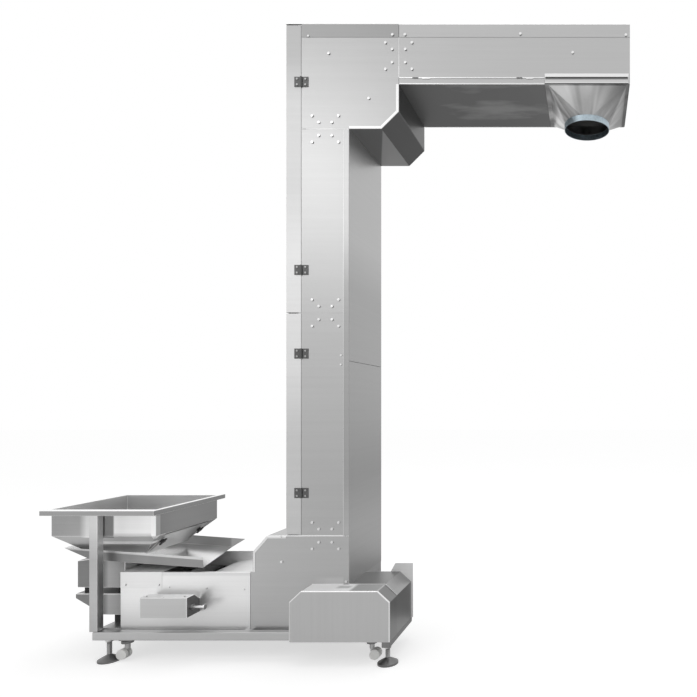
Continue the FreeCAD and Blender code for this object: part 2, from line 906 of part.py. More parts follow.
def gate():
    """Slide gate with two slots, and the studs with their knobs that clamp it."""
    near = gate_clearance
    far = near + gate_sheet
    half = gate_width / 2
    plate = on_slope(-gate_overlap, gate_length - gate_overlap, -half, half, near, far)
    slot_half = gate_slot_width / 2
    top = gate_stud_up_slope
    bottom = top - gate_travel
    outward = slope_frame()[2]
    slots = []
    knobs = []
    for y in (-gate_slot_spacing / 2, gate_slot_spacing / 2):
        slots.append(on_slope(bottom, top, y - slot_half, y + slot_half, near, far))
        for end in (bottom, top):
            slots.append(Part.makeCylinder(slot_half, gate_sheet, slope_point(end, y, near), outward))
        knob_start = far + gate_clearance
        knob_end = far + knob_thickness
        stud = regular_prism(knob_sides, gate_stud, knob_end, slope_point(top, y, 0), outward)
        knob = regular_prism(
            knob_sides, knob_size, knob_end - knob_start, slope_point(top, y, knob_start), outward
        )
        wing = on_slope(
            top - knob_wing / 2, top + knob_wing / 2, y - knob_wing_width / 2, y + knob_wing_width / 2,
            knob_end - knob_thickness / 2, knob_end,
        )
        knobs.append(join([stud, knob, wing]))
    return {"slide_gate": plate.cut(slots), "gate_knobs": group(knobs)}


def posts():
    """Two posts from the frame to the underside of the hopper's rim."""
    front = -frame_half_depth + hopper_sheet + post_play
    post = block(post_left, post_left + tube, front, front + tube, frame_top, hopper_top - hopper_sheet)
    return group([post, mirrored(post)])


def tray_floor():
    """Where the tray's flat floor starts, its underside there and its drop for each millimetre along."""
    drop = math.tan(math.radians(tray_slope))
    start = tray_left + tray_end_slant
    return start, tray_rim_left - tray_wall - drop * tray_end_slant, drop


def tray():
    """Sloping vibrating tray with a raked left end and a skewed discharge end."""
    floor_start, floor_z, drop = tray_floor()
    rim_right = tray_rim_left - drop * (tray_right - tray_left)
    outer = prism(
        [
            (tray_left, tray_rim_left),
            (floor_start, floor_z),
            (tray_right, rim_right - tray_wall),
            (tray_right, rim_right),
        ],
        -tray_half_depth, tray_half_depth,
    )
    rake = (tray_rim_left - floor_z) / tray_end_slant
    rise = tray_sheet * math.sqrt(1 + rake * rake)
    inner = prism(
        [
            (tray_left, tray_rim_left + rise),
            (floor_start, floor_z + rise),
            (tray_right, rim_right - tray_wall + tray_sheet),
            (tray_right, tray_rim_left + rise),
        ],
        -tray_half_depth + tray_sheet, tray_half_depth - tray_sheet,
    )
    skewed = [
        Vector(tray_right, -tray_half_depth, rim_right - tray_wall),
        Vector(tray_right - tray_skew, tray_half_depth, rim_right - tray_wall),
        Vector(tray_right, tray_half_depth, rim_right - tray_wall),
    ]
    raked = Vector(tray_end_rake, 0, tray_wall) * 2
    skew = Part.Face(Part.makePolygon(skewed + skewed[:1])).extrude(raked)
    return {"feeder_tray": outer.cut([inner, skew])}


def vibrator():
    """Drive boxes under the tray, with the rubber mounts between them and the frame."""
    floor_start, floor_z, drop = tray_floor()
    upper = prism(
        [
            (vibrator_left, vibrator_bottom),
            (vibrator_right, vibrator_bottom),
            (vibrator_right, floor_z - drop * (vibrator_right - floor_start)),
            (floor_start, floor_z),
            (vibrator_left, vibrator_top),
        ],
        -vibrator_half_depth, vibrator_half_depth,
    )
    lower = prism(
        [
            (base_box_left, base_box_top),
            (base_box_left, base_box_top - base_box_side),
            (base_box_left + base_box_taper, base_box_bottom),
            (base_box_right, base_box_bottom),
            (base_box_right, base_box_top),
        ],
        -vibrator_half_depth, vibrator_half_depth,
    )
    mounts = []
    shelf_top = frame_top + shelf_sheet
    side = vibrator_half_depth - mount_inset
    for y0, y1 in ((-side, -side + mount_size), (side - mount_size, side)):
        for x in (vibrator_left + mount_inset, vibrator_right - mount_inset - mount_size):
            mounts.append(block(x, x + mount_size, y0, y1, base_box_top, vibrator_bottom))
        for x in (frame_left, frame_left + shelf_width - mount_size):
            mounts.append(block(x, x + mount_size, y0, y1, shelf_top, base_box_bottom))
    return {
        "vibrator_upper_box": upper,
        "vibrator_base_box": lower,
        "vibrator_mounts": group(mounts),
    }


def loop_corners():
    """Sharp corners of the bucket loop as (x, z), once round."""
    low = casing_floor + loop_floor_room
    high = low + 2 * chain_turn
    head_high = panel_top - loop_roof_room
    head_low = head_high - 2 * chain_turn
    tail = feed_left + loop_tail_room - chain_turn
    head = head_end - loop_head_room + chain_turn
    return [
        (tail, low),
        (strand_offset, low),
        (strand_offset, head_low),
        (head, head_low),
        (head, head_high),
        (-strand_offset, head_high),
        (-strand_offset, high),
        (tail, high),
    ]


def loop_turns():
    """Each turn of the loop: its centre and its points, in order."""
    corners = [Vector(x, 0, z) for x, z in loop_corners()]
    turns = []
    for index, corner in enumerate(corners):
        arriving = corner - corners[index - 1]
        leaving = corners[(index + 1) % len(corners)] - corner
        arriving.normalize()
        leaving.normalize()
        centre = corner + (leaving - arriving) * chain_turn
        points = []
        for step in range(chain_turn_runs + 1):
            angle = math.radians(90 * step / chain_turn_runs)
            points.append(centre + (arriving * math.sin(angle) - leaving * math.cos(angle)) * chain_turn)
        turns.append((centre, points))
    return turns


def loop_line():
    """The chain's closed line as (x, z) points."""
    line = []
    for centre, points in loop_turns():
        for point in points:
            if not line or math.dist(line[-1], (point.x, point.z)) > joint_gap:
                line.append((point.x, point.z))
    if math.dist(line[0], line[-1]) < joint_gap:
        line.pop()
    return line


def closed_offset(line, distance):
    """A closed line moved to its left side by distance."""
    wrapped = [line[-1]] + line + [line[0]]
    return shifted_line(wrapped, distance)[1:-1]


def chains():
    """Two chains, front and back, each one closed loop."""
    line = loop_line()
    near = bucket_width / 2
    outer = prism(closed_offset(line, -chain_height / 2), -near - chain_thickness, -near)
    inner = prism(closed_offset(line, chain_height / 2), -near - chain_thickness, -near)
    chain = outer.cut(inner)
    return group([chain, mirrored(chain)])


def chain_wheels():
    """Wheels on stub shafts that carry the chains at every turn."""
    near = bucket_width / 2
    wheel_radius = chain_turn - chain_height / 2 / math.cos(math.pi / chain_wheel_sides) - chain_wheel_fit
    wheels = []
    centres = []
    for centre, points in loop_turns():
        if any(centre.isEqual(known, joint_gap) for known in centres):
            continue
        centres.append(centre)
        start = Vector(centre.x, -near, centre.z)
        wheel = regular_prism(chain_wheel_sides, 2 * wheel_radius, chain_thickness, start, DEEP * -1)
        stub = regular_prism(stub_sides, stub_size, half_depth - panel_sheet - near, start, DEEP * -1)
        front = join([wheel, stub])
        wheels += [front, mirrored(front)]
    return group(wheels)


def bucket():
    """An open bucket that hangs upright from the chain's line at the origin."""
    top = bucket_rim_rise
    low = top - bucket_height
    lean = (bucket_length - bucket_base) / 2 / bucket_height
    wall = bucket_sheet * math.sqrt(1 + lean * lean)
    floor_half = bucket_base / 2 - wall + lean * bucket_sheet
    mouth_half = bucket_length / 2 - wall
    outer = [
        (-bucket_base / 2, low),
        (bucket_base / 2, low),
        (bucket_length / 2, top),
        (-bucket_length / 2, top),
    ]
    inner = [
        (-floor_half, low + bucket_sheet),
        (floor_half, low + bucket_sheet),
        (mouth_half, top),
        (-mouth_half, top),
    ]
    end = bucket_width / 2
    return prism(outer, -end, end).cut(prism(inner, -end + bucket_sheet, end - bucket_sheet))


def buckets():
    """Buckets at even spaces round the loop."""
    line = loop_line()
    closed = line + line[:1]
    runs = [math.dist(closed[index], closed[index + 1]) for index in range(len(line))]
    count = round(sum(runs) / bucket_pitch)
    pitch = sum(runs) / count
    pattern = bucket()
    placed = []
    travelled = 0.0
    for index, run in enumerate(runs):
        while len(placed) < count and len(placed) * pitch < travelled + run:
            share = (len(placed) * pitch - travelled) / run
            x = closed[index][0] + share * (closed[index + 1][0] - closed[index][0])
            z = closed[index][1] + share * (closed[index + 1][1] - closed[index][1])
            placed.append(pattern.translated(Vector(x, 0, z)))
        travelled += run
    return group(placed)


def all_nodes():
    """Every piece by the name of its node."""
    nodes = {}
    nodes.update(casing_panels())
    front_splices = splice_plates()
    nodes["splice_plates"] = group(list(front_splices.Solids) + list(mirrored(front_splices).Solids))
    nodes.update(casing_covers())
    nodes.update(casing_plates())
    nodes.update(feed_inlet())
    nodes.update(doors_and_hinges())
    nodes.update(take_up())
    nodes.update(discharge())
    nodes.update(drive())
    nodes.update(base_frame())
    nodes["levelling_feet"] = feet()
    nodes.update(casters())
    nodes.update(hopper())
    nodes.update(gate())
    nodes["hopper_posts"] = posts()
    nodes.update(tray())
    nodes.update(vibrator())
    nodes["bucket_chains"] = chains()
    nodes["chain_wheels"] = chain_wheels()
    nodes["buckets"] = buckets()
    return nodes


def main():
    """Move the machine over its origin and write one file for each node."""
    nodes = all_nodes()
    whole = Part.makeCompound(list(nodes.values())).BoundBox
    shift = Vector(-(whole.XMin + whole.XMax) / 2, -(whole.YMin + whole.YMax) / 2, -whole.ZMin)
    os.makedirs("parts", exist_ok=True)
    for name, shape in nodes.items():
        shape.translate(shift)
        shape.exportStep("parts/" + name + ".step")
    axis_x, axis_y = hinge_axis()
    print("nodes", len(nodes))
    print("shift", [round(value, 3) for value in shift])
    print("size", [round(value, 2) for value in (whole.XLength, whole.YLength, whole.ZLength)])
    print("door hinge axis", round(axis_x + shift.x, 3), round(axis_y + shift.y, 3))


main()
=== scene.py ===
import bmesh
import bpy
import json
import math

from mathutils import Matrix, Vector

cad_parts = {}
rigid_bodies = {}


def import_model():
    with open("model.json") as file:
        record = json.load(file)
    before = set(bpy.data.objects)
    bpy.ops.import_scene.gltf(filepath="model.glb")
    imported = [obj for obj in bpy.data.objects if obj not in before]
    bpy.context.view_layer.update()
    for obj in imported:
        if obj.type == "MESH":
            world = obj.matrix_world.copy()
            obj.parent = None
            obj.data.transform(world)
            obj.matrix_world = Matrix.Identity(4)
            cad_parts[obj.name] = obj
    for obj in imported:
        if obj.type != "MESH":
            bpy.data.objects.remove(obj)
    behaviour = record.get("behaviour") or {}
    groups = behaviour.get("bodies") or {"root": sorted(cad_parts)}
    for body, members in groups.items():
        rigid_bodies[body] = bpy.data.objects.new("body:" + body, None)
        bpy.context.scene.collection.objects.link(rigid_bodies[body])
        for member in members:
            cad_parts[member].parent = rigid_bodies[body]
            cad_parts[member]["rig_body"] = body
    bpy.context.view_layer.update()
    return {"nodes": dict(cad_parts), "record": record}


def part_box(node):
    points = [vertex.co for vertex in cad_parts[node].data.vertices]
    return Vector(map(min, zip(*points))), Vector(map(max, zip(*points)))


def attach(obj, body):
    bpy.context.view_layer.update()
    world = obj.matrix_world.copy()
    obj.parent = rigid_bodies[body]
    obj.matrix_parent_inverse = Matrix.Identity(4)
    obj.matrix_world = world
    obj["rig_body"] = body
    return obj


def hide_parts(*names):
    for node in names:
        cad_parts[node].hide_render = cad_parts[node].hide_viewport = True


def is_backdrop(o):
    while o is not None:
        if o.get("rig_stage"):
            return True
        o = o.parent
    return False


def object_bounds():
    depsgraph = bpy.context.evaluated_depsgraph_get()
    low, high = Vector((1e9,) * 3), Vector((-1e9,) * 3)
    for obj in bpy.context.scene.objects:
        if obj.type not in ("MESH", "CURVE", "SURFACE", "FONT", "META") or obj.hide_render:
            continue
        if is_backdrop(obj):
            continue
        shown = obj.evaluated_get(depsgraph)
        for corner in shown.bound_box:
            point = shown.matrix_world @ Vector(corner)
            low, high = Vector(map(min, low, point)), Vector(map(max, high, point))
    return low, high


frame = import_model()
nodes = frame["nodes"]
slots = {row["node"]: row["material_slot"] for row in frame["record"]["subparts"]}
joint_places = {row["name"]: row.get("pos_m") for row in frame["record"]["behaviour"]["joints"]}

# Lengths and places are in metres, with X along the machine, Y into its depth and Z up
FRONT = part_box("boot_front_panel")[0].y
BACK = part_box("back_panels")[1].y
LAP = 0.0015
LAP_FACE = FRONT - LAP


# Materials

class Value:
    """A value in a material; arithmetic on it adds Math nodes."""

    def __init__(self, home, socket):
        self.home = home
        self.socket = socket

    def maths(self, operation, first, second):
        made = self.home.node("ShaderNodeMath", {"operation": operation}, {0: first, 1: second})
        return self.home.value(made)

    def __add__(self, other):
        return self.maths("ADD", self, other)

    def __radd__(self, other):
        return self.maths("ADD", other, self)

    def __sub__(self, other):
        return self.maths("SUBTRACT", self, other)

    def __rsub__(self, other):
        return self.maths("SUBTRACT", other, self)

    def __mul__(self, other):
        return self.maths("MULTIPLY", self, other)

    def __rmul__(self, other):
        return self.maths("MULTIPLY", other, self)


class NodeTree:
    """The nodes of a material or of the world."""

    def __init__(self, tree):
        self.tree = tree

    def fill(self, socket, value):
        """Gives a socket a value or a link."""
        if isinstance(value, Value):
            value = value.socket
        if isinstance(value, bpy.types.NodeSocket):
            self.tree.links.new(value, socket)
        else:
            socket.default_value = value

    def node(self, kind, settings, inputs):
        """Any node, from its type, its settings and the values or links of its sockets."""
        made = self.tree.nodes.new(kind)
        for key, value in settings.items():
            setattr(made, key, value)
        for key, value in inputs.items():
            self.fill(made.inputs[key], value)
        return made

    def value(self, made, output=0):
        return Value(self, made.outputs[output])


class Finish(NodeTree):
    """A material of one shader and the nodes that vary it."""

    def __init__(self, name, metallic=1.0):
        self.material = bpy.data.materials.new(name)
        self.material.use_nodes = True
        super().__init__(self.material.node_tree)
        self.shader = self.tree.nodes["Principled BSDF"]
        self.feed("Metallic", metallic)
        self.place = self.node("ShaderNodeTexCoord", {}, {}).outputs["Object"]

    def feed(self, name, value):
        """Gives one of the shader's own sockets a value or a link."""
        self.fill(self.shader.inputs[name], value)

    def noise(self, stretch, detail=2.0, start=(0.0, 0.0, 0.0)):
        """Noise about zero, with its own number of waves a metre along X, Y and Z."""
        mapped = self.node("ShaderNodeMapping", {}, {"Vector": self.place, "Scale": stretch, "Location": start})
        made = self.node("ShaderNodeTexNoise", {}, {"Vector": mapped.outputs[0], "Scale": 1.0, "Detail": detail})
        return self.value(made, "Fac") - 0.5

    def facing(self, axis):
        """How much a surface faces along an axis, from -1 to 1."""
        normal = self.node("ShaderNodeNewGeometry", {}, {}).outputs["Normal"]
        return self.value(self.node("ShaderNodeSeparateXYZ", {}, {"Vector": normal}), axis)

    def limited(self, value, low=0.0, high=1.0):
        """A value that is held between two limits."""
        return self.value(self.node("ShaderNodeClamp", {}, {"Value": value, "Min": low, "Max": high}))

    def region(self, low, high, soft, lean):
        """One inside a box of the object's coordinates, falling to zero over soft edges outside; None is no limit.

        A lean, such as ("Z", "X", 0.1), slopes the limits along its first axis down along its second.
        """
        split = self.node("ShaderNodeSeparateXYZ", {}, {"Vector": self.place})
        inside = 1.0
        for axis, least, most, edge in zip("XYZ", low, high, soft):
            along = self.value(split, axis)
            if lean and axis == lean[0]:
                along = along + self.value(split, lean[1]) * lean[2]
            if least is not None:
                inside = self.limited((along - (least - edge)) * (1.0 / edge)) * inside
            if most is not None:
                inside = self.limited(((most + edge) - along) * (1.0 / edge)) * inside
        return inside

    def colour(self, tone, shade):
        """Sets the base colour to a tone that a value makes lighter or darker."""
        made = self.node("ShaderNodeVectorMath", {"operation": "SCALE"}, {0: tone, "Scale": shade})
        self.feed("Base Color", made.outputs[0])

    def bump(self, height, distance, strength=1.0):
        made = self.node("ShaderNodeBump", {}, {"Height": height, "Distance": distance, "Strength": strength})
        self.feed("Normal", made.outputs[0])


def grey(tone):
    return (tone, tone, tone)


def patch(low, high, soft, gain, lean=None):
    """A part of the sheet with painted light or shade, brighter or darker than the rest by a gain, as a region of its
    finish.
    """
    return low, high, soft if isinstance(soft, tuple) else (soft, soft, soft), gain, lean


# Waves a metre along X, Y and Z, for brushing that runs level and upright
LEVEL_GRAIN = (3.0, 3.0, 700.0)
UPRIGHT_GRAIN = (700.0, 700.0, 3.0)


def brushed_steel(
    name, tone, roughness, grain=LEVEL_GRAIN, cloud=0.10, streak=0.08, under=0.75, right=1.0, top=1.0,
    handled=(1.7, 1.7, 1.7), start=(0.0, 0.0, 0.0), patches=(), metallic=1.0, blotches=0.0, inner=0.0,
):
    """Brushed stainless sheet: fine lines along the grain, broad soft streaks and soft clouds of tone.

    Under, right and top are painted shade and light: they say how much darker or lighter the faces are that look down,
    to the right or up. Patches are painted light and shade on parts that are brighter or darker, blotches are lighter
    marks on the faces that look down, and inner is how matt the faces are that look to the front.
    """
    finish = Finish(name, metallic)
    fine = finish.noise(grain, 3.0)
    broad = finish.noise(tuple(max(wave / 14, 1.2) for wave in grain), 3.0)
    cloudy = finish.noise(handled, 2.0, start)
    shade = 1.0 + fine * 0.10 + broad * streak + cloudy * cloud
    # Painted shade on the faces that look down, and painted shade or light on those that look right or up
    downward = finish.limited(finish.facing("Z") * -1.4)
    shade = shade * (1.0 - downward * (1.0 - under))
    if right != 1.0:
        shade = shade * (1.0 - finish.limited(finish.facing("X")) * (1.0 - right))
    if top != 1.0:
        level = finish.limited((finish.facing("Z") - 0.75) * 4.0)
        shade = shade * (1.0 - level * (1.0 - top))
    # Painted light and shade on the patches
    for low, high, soft, gain, lean in patches:
        shade = shade * (1.0 + finish.region(low, high, soft, lean) * (gain - 1.0))
    if blotches:
        blotched = finish.limited((finish.noise((3.0, 9.0, 3.0), 4.0, (0.3, 0.1, 0.0)) - 0.06) * 6.0)
        shade = shade * (1.0 + blotched * downward * blotches)
    finish.colour(grey(tone), shade)
    if inner:
        finish.feed("Metallic", metallic - finish.limited(finish.facing("Y") * -1.0) * inner)
    finish.feed("Roughness", roughness + fine * 0.10 + cloudy * 0.08 + downward * 0.10)
    finish.bump(fine, 0.00012, 0.6)
    return finish.material


def hand_formed(name, tone, centre):
    """Polished sheet that is worked round a collar, with streaks running down to it that are bumps in the sheet and
    painted bright and dark reflections in its colour, and painted shade to the right of the collar.
    """
    finish = Finish(name)
    split = finish.node("ShaderNodeSeparateXYZ", {}, {"Vector": finish.place})
    aside = finish.value(split, "X") - centre[0]
    deep = finish.value(split, "Y") - centre[1]
    around = aside.maths("ARCTAN2", deep, aside)
    spread = finish.node("ShaderNodeCombineXYZ", {}, {"X": around * 2.6, "Y": finish.value(split, "Z") * 2.2})
    made = finish.node(
        "ShaderNodeTexNoise", {}, {"Vector": spread.outputs[0], "Scale": 1.0, "Detail": 1.5, "Distortion": 0.3}
    )
    streaks = finish.value(made, "Fac") - 0.5
    fine = finish.noise((260.0, 260.0, 60.0), 3.0)
    soft = finish.noise((9.0, 9.0, 9.0))
    # Painted shade to the right of the collar
    right_side_shade = finish.limited(aside * 5.0)
    shade = (1.10 + streaks * 3.2 + soft * 0.4 + fine * 0.15) * (1.0 - right_side_shade * 0.70)
    finish.colour(grey(tone), finish.limited(shade, 0.3, 1.7))
    finish.feed("Roughness", 0.30 + fine * 0.06 + soft * 0.10)
    finish.bump(streaks + soft * 0.3, 0.004)
    return finish.material


def plain_metal(name, tone, roughness, wear=0.25):
    """Plated or painted metal with a little wear and handling marks."""
    finish = Finish(name)
    marks = finish.noise((60.0, 60.0, 60.0), 4.0)
    soft = finish.noise((9.0, 9.0, 9.0))
    finish.colour(tone, 1.0 + marks * wear + soft * wear)
    finish.feed("Roughness", roughness + marks * 0.2)
    finish.bump(marks, 0.0002, 0.4)
    return finish.material


def bright_head(name, tone, roughness):
    """Polished bolt heads, bright where they look up or left and darker with painted shade where they look down to the
    right.
    """
    finish = Finish(name)
    marks = finish.noise((300.0, 300.0, 300.0), 3.0)
    shaded_side = finish.limited((finish.facing("X") - finish.facing("Z") - 0.15) * 1.6)
    finish.colour(tone, 1.0 + marks * 0.15 - shaded_side * 0.70)
    finish.feed("Roughness", roughness + marks * 0.1)
    finish.bump(marks, 0.0001, 0.3)
    return finish.material


def moulded(name, tone, roughness, grain=0.0002):
    """Moulded plastic or rubber with a fine matt grain."""
    finish = Finish(name, metallic=0.0)
    fine = finish.noise((900.0, 900.0, 900.0))
    soft = finish.noise((14.0, 14.0, 14.0), 3.0)
    finish.colour(tone, 1.0 + fine * 0.25 + soft * 0.30)
    finish.feed("Roughness", roughness + soft * 0.2)
    finish.bump(fine, grain, 0.5)
    return finish.material


def galvanised(name):
    """Zinc coat with bluish flowers of crystal."""
    finish = Finish(name)
    mapped = finish.node("ShaderNodeMapping", {}, {"Vector": finish.place, "Scale": (90.0, 90.0, 90.0)})
    cells = finish.node("ShaderNodeTexVoronoi", {}, {"Vector": mapped.outputs[0], "Scale": 1.0})
    flower = finish.value(cells, "Distance") - 0.4
    soft = finish.noise((12.0, 12.0, 12.0), 3.0)
    finish.colour((0.42, 0.50, 0.55), 1.0 + flower * 0.35 + soft * 0.5)
    finish.feed("Roughness", 0.38 + flower * 0.15)
    finish.bump(flower, 0.0003, 0.3)
    return finish.material


# Finishes of the material slots

# Painted reflections on the feeder's sheet: broad cloudy bands, set off so that a bright one falls on the right half
FEEDER_CLOUD_WAVES = (3.4, 1.5, 1.0)
feeder_sheen = {"cloud": 0.9, "handled": FEEDER_CLOUD_WAVES, "start": (0.35, 0.0, 0.0)}
upright_sheet = {"tone": 0.54, "roughness": 0.36, "grain": UPRIGHT_GRAIN}
collar_low, collar_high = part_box("discharge_collar")

# Under, right and top below paint shade and light onto the faces by the way they look
finishes = {
    "casing_steel": brushed_steel(
        "brushed_casing_sheet", 0.49, 0.36, right=0.88, patches=[
            # Light from the guard's top on the boot
            patch((-0.06, None, 0.35), (0.04, FRONT + 0.002, 0.388), (0.08, 0.001, 0.016), 1.16),
        ],
    ),
    "drive_steel": brushed_steel("brushed_drive_sheet", right=0.5, top=2.0, **upright_sheet),
    "feeder_steel": brushed_steel("brushed_feeder_sheet", 0.47, 0.30, right=0.8, under=1.4, **feeder_sheen),
    "drive_box_steel": brushed_steel(
        "brushed_box_sheet", 0.27, 0.38, cloud=0.25, metallic=0.35, patches=[
            # A dark copy of the sheet for painted shade under the tray, with painted light on the left part of both
            # boxes, and on the upper one beyond the post
            patch((-1.205, None, 0.16), (-1.05, -0.150, 0.47), (0.02, 0.002, 0.01), 1.9),
            patch((-1.122, None, 0.30), (None, -0.085, None), (0.0008, 0.02, 0.01), 3.4),
        ],
    ),
    "frame_steel": brushed_steel("brushed_square_tube", 0.55, 0.34, cloud=0.14),
    "chute_steel": hand_formed("hand_formed_sheet", 0.46, (collar_low + collar_high) / 2),
    "collar_zinc": galvanised("galvanised_sheet"),
    "hinge_black": plain_metal("black_hinge_paint", grey(0.13), 0.45),
    "knob_black": moulded("matt_black_plastic", grey(0.02), 0.5),
    "foot_steel": plain_metal("dark_plated_steel", grey(0.20), 0.4),
    "wheel_plastic": moulded("pale_nylon", (0.97, 0.97, 0.95), 0.45),
    "caster_steel": plain_metal("bright_zinc_plate", grey(0.45), 0.3),
    "mount_rubber": moulded("black_rubber", grey(0.03), 0.7, 0.0004),
    "screw_steel": bright_head("bright_screw_steel", grey(0.80), 0.30),
    "bucket_steel": brushed_steel("pressed_bucket_sheet", 0.50, 0.32, cloud=0.3),
}

# Finishes of single pieces

door_finish = brushed_steel(
    "brushed_door_sheet", 0.61, 0.50, patches=[
        # A lighter copy of the casing sheet for the highlight on the doors, with painted shade at the top of the
        # column and a painted highlight half way up
        patch((None, None, 3.00), (None, None, 4.00), 0.22, 0.80),
        patch((None, None, 1.45), (None, None, 2.00), 0.35, 1.20),
    ],
)
feed_finish = brushed_steel(
    "bright_feed_sheet", 0.87, 0.42, cloud=0.15, streak=0.04, patches=[
        # A lighter copy of the casing sheet for a painted reflection of the floor, with painted shade along the foot
        # and under the cover
        patch((None, None, 0.0), (None, None, 0.19), 0.10, 0.86),
        patch((None, None, 0.412), (None, None, 0.4205), 0.010, 0.88),
    ],
)
column_cover_finish = brushed_steel(
    "brushed_column_cover", 0.49, 0.36, right=0.88, patches=[
        # Painted shade half way up
        patch((None, None, 0.9), (None, None, 1.85), 0.25, 0.80),
    ],
)
inner_corner_finish = brushed_steel(
    "shaded_corner_sheet", 0.42, 0.38, under=0.52, right=0.21, patches=[
        # The lit part of the underside, to the right of a slanting edge
        patch((0.139, None, 2.60), (None, None, 2.6388), (0.006, 1.0, 0.0006), 2.1, ("X", "Y", 0.364)),
    ],
)
back_finish = brushed_steel(
    "back_casing_sheet", 0.49, 0.40, inner=0.75, patches=[
        # Painted light on the inside of the feed housing
        patch((-1.00, None, 0.28), (-0.44, BACK - 0.0010, 0.45), (0.02, 0.0003, 0.02), 2.0),
    ],
)
post_finish = brushed_steel(
    "brushed_post_tube", 0.49, 0.34, cloud=0.14, right=1.4, patches=[
        # A painted highlight up to the rim
        patch((None, None, 0.66), (None, None, 0.80), (1.0, 1.0, 0.16), 1.5),
    ],
)

guard_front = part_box("drive_front_guard")[0].y
guard_finish = brushed_steel(
    "bright_guard_sheet", right=0.45, patches=[
        # Painted shade on the slanting top right face
        patch((0.229, guard_front + 0.006, 0.311), (0.283, None, 0.3625), (0.003, 0.002, 0.003), 0.65),
    ], **upright_sheet
)
guard_top_finish = brushed_steel(
    "pale_guard_top", 1.0, 0.50, metallic=0.0, patches=[
        # A pale matt copy for painted light on the guard's top, a painted reflection of the housing on its dark right
        # part, and a darker spot beside it
        patch((0.098, None, None), (0.30, None, None), (0.018, 1.0, 1.0), 0.42),
        patch((0.018, -0.272, None), (0.062, -0.240, None), (0.020, 0.010, 1.0), 0.60),
    ],
)

TRAY_SIDE = -0.165
tray_finish = brushed_steel(
    "brushed_tray_sheet", 0.42, 0.30, cloud=0.5, handled=FEEDER_CLOUD_WAVES, right=0.8, under=1.4, inner=0.5, patches=[
        # The front side has painted shade at both ends and a painted highlight along its sloping top edge
        patch((-0.95, None, 0.40), (-0.60, TRAY_SIDE, 0.60), (0.12, 0.004, 0.1), 0.75),
        patch((-1.50, None, 0.40), (-1.06, TRAY_SIDE, 0.60), (0.08, 0.004, 0.1), 0.70),
        patch((-1.50, None, 0.4255), (-0.60, TRAY_SIDE, 0.60), (0.1, 0.004, 0.0015), 2.3, ("Z", "X", 0.0783)),
        # Painted light on the back side at the open end
        patch((-0.80, 0.150, 0.40), (None, None, None), (0.012, 0.01, 0.01), 1.5),
    ],
)

HOPPER_SIDE = -0.200
FUNNEL_SIDE = -0.130
hopper_patches = [
    # Painted reflections on the front side: bright at the left, dark beside the post, bright in the middle and at the
    # right corner
    patch((-1.255, None, 0.60), (-1.20, HOPPER_SIDE, 0.74), (0.035, 0.01, 0.004), 1.75),
    patch((-1.180, None, 0.60), (-1.124, HOPPER_SIDE, 0.74), (0.003, 0.01, 0.004), 0.5),
    patch((-1.116, None, 0.625), (-0.930, HOPPER_SIDE, 0.705), (0.004, 0.01, 0.022), 1.9),
    patch((-0.928, None, 0.590), (-0.912, HOPPER_SIDE, 0.705), 0.006, 2.0),
    # Painted shade in a line along the foot of the right side
    patch((-0.918, -0.150, 0.599), (-0.900, 0.185, 0.608), (0.002, 0.01, 0.002), 0.35),
    # The funnel: a painted highlight in a strip, and painted shade at its foot
    patch((-1.230, None, 0.561), (-0.93, FUNNEL_SIDE, 0.573), (0.01, 0.01, 0.003), 2.1),
    patch((-1.40, None, 0.400), (-0.90, FUNNEL_SIDE, 0.548), (0.02, 0.01, 0.014), 0.62),
]
SLOT_MIDDLE = 0.0175
SLOT_ASIDE = 0.146
SLOT_HALF = 0.0055
for side in (-1, 1):
    slot_y = SLOT_MIDDLE + side * SLOT_ASIDE
    # Painted shade on the wall behind the slot for a knob's stud
    hopper_patches.append(
        patch((-1.05, slot_y - SLOT_HALF, 0.49), (-0.90, slot_y + SLOT_HALF, 0.60), 0.0008, 0.15)
    )
hopper_finish = brushed_steel(
    "brushed_hopper_sheet", 0.47, 0.30, right=0.55, under=1.3, patches=hopper_patches, **feeder_sheen
)

# Under, right and top below paint shade and light onto the faces by the way they look
own_finish = {
    "door_upper": door_finish,
    "door_lower": door_finish,
    "feed_front_panel": feed_finish,
    "feed_top_cover": brushed_steel("dull_feed_cover_sheet", 0.75, 0.50, metallic=0.15),
    "take_up_cover": brushed_steel("brushed_take_up_sheet", 0.52, 0.36, right=0.25, top=1.5),
    # A darker copy of the casing sheet
    "corner_top_cover": brushed_steel("dull_corner_cover_sheet", 0.36, 0.36),
    "slide_gate": brushed_steel("bright_gate_sheet", 0.66, 0.34, under=1.0, cloud=0.3),
    "hopper_posts": post_finish,
    "hopper_rim": brushed_steel("brushed_rim_sheet", 0.42, 0.30, cloud=0.3, right=0.7, top=2.4),
    # A near white sheet for a painted reflection on the back plate
    "drive_back_plate": brushed_steel("bright_back_plate", 0.97, 0.36, metallic=0.15),
    "column_right_covers": column_cover_finish,
    "feeder_tray": tray_finish,
    # Painted shade on the housing's top and on its right side
    "drive_housing": brushed_steel("dull_housing_sheet", right=0.5, top=0.45, **upright_sheet),
    "drive_front_guard": guard_finish,
    "corner_inner_cover": inner_corner_finish,
    # Painted shade on the head's underside, with lighter blotches
    "head_bottom_cover": brushed_steel("smudged_head_sheet", 0.49, 0.36, under=0.50, blotches=0.6),
    "frame_end_rail": brushed_steel("shaded_end_rail", 0.24, 0.36, right=0.8),
    "back_panels": back_finish,
    "end_plates": back_finish,
    "hopper_body": hopper_finish,
    # A near white sheet for painted light on the inlet pan
    "inlet_pan": brushed_steel("bright_inlet_pan", 0.95, 0.40, metallic=0.3),
}

# Painted light on the tray's floor
tray_floor_finish = brushed_steel("bright_tray_floor", 0.97, 0.22, cloud=0.2, metallic=0.9)
hinge_screw_finish = plain_metal("dull_hinge_screws", grey(0.40), 0.40)
